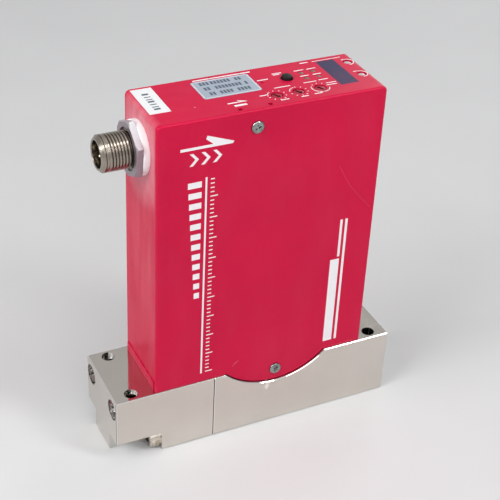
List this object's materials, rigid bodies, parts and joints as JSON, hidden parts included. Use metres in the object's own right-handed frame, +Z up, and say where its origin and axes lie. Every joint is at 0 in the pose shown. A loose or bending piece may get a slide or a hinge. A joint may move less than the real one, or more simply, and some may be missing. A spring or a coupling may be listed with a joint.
{
  "type": "mass flow controller",
  "caption": "Surface-mount gas mass flow controller: polished steel flow body with a painted sheet-metal cover, round threaded connector, and a top panel of buttons, dials and a display.",
  "frame": {"origin": "centre of the mounting face, on the underside of the flow body", "axes": "+Z up away from the mounting face; +X along the gas flow from inlet to outlet; front panel faces -Y"},
  "size_m": [0.105, 0.0286, 0.1277],
  "materials": {
    "aluminium": "anodised",
    "black_plastic": "satin moulded",
    "ceramic_stack": "coated",
    "circuit_board": "solder mask",
    "dark_red_plastic": "satin moulded",
    "gold_contact": "gold plated",
    "grey_plastic": "satin moulded",
    "label_silver": "satin label",
    "label_white": "satin label",
    "lens_plastic": "translucent",
    "nickel": "nickel plated",
    "polished_steel": "electropolished mirror",
    "red_paint": "semi-gloss powder coat",
    "screw_steel": "bright zinc-plated",
    "white_flange": "satin moulded",
    "winding_wire": "enamelled wire",
    "window_plastic": "tinted"
  },
  "bodies": {
    "controller": {"board_bracket_left": "aluminium", "board_bracket_right": "aluminium", "board_link": "black_plastic", "bracket_screws": "screw_steel", "bypass_element": "polished_steel", "clinch_nuts": "screw_steel", "connector_board": "circuit_board", "connector_insert": "black_plastic", "connector_lock_nut": "nickel", "connector_pins": "gold_contact", "connector_shell": "nickel", "connector_washer": "white_flange", "control_board": "circuit_board", "cover_wrap": "red_paint", "dial_bodies": "black_plastic", "display_board": "circuit_board", "display_module": "black_plastic", "display_standoffs": "screw_steel", "display_switches": "black_plastic", "display_window": "window_plastic", "downstream_winding": "winding_wire", "front_lower_screw": "screw_steel", "front_panel": "red_paint", "front_upper_screw": "screw_steel", "inlet_block": "polished_steel", "joint_screws": "screw_steel", "joint_seal": "polished_steel", "main_block": "polished_steel", "main_chip": "black_plastic", "piezo_stack": "ceramic_stack", "rating_label": "label_silver", "rear_lower_screw": "screw_steel", "rear_panel": "red_paint", "rear_upper_screw": "screw_steel", "sensor_case": "aluminium", "sensor_flange": "polished_steel", "sensor_screws": "screw_steel", "sensor_tube": "polished_steel", "serial_label": "label_white", "status_leds": "grey_plastic", "status_lens_1": "lens_plastic", "status_lens_2": "lens_plastic", "status_lens_3": "lens_plastic", "status_lens_4": "lens_plastic", "thrust_ball": "polished_steel", "upstream_winding": "winding_wire", "valve_cap": "polished_steel", "valve_diaphragm": "polished_steel", "valve_housing": "polished_steel", "valve_plunger": "polished_steel", "valve_screws": "screw_steel", "valve_seat": "polished_steel", "zero_switch": "black_plastic"},
    "zero_button": {"zero_button": "black_plastic"},
    "display_button_rear": {"display_button_rear": "grey_plastic"},
    "display_button_front": {"display_button_front": "grey_plastic"},
    "dial_1": {"dial_1": "dark_red_plastic"},
    "dial_2": {"dial_2": "dark_red_plastic"},
    "dial_3": {"dial_3": "dark_red_plastic"}
  },
  "joints": [
    {"name": "zero_button_press", "type": "slide", "parent": "controller", "child": "zero_button", "axis": [0, 0, -1], "range_m": [0, 0.0004], "stiffness_N_per_m": 1500, "springref_m": -0.0003},
    {"name": "display_button_rear_press", "type": "slide", "parent": "controller", "child": "display_button_rear", "axis": [0, 0, -1], "range_m": [0, 0.00025], "stiffness_N_per_m": 2000, "springref_m": -0.0003},
    {"name": "display_button_front_press", "type": "slide", "parent": "controller", "child": "display_button_front", "axis": [0, 0, -1], "range_m": [0, 0.00025], "stiffness_N_per_m": 2000, "springref_m": -0.0003},
    {"name": "dial_1_turn", "type": "hinge", "parent": "controller", "child": "dial_1", "pos_m": [0.00495, -0.0066, 0.122], "axis": [0, 0, 1], "continuous": true},
    {"name": "dial_2_turn", "type": "hinge", "parent": "controller", "child": "dial_2", "pos_m": [0.0126, -0.0066, 0.122], "axis": [0, 0, 1], "continuous": true},
    {"name": "dial_3_turn", "type": "hinge", "parent": "controller", "child": "dial_3", "pos_m": [0.02025, -0.0066, 0.122], "axis": [0, 0, 1], "continuous": true}
  ]
}
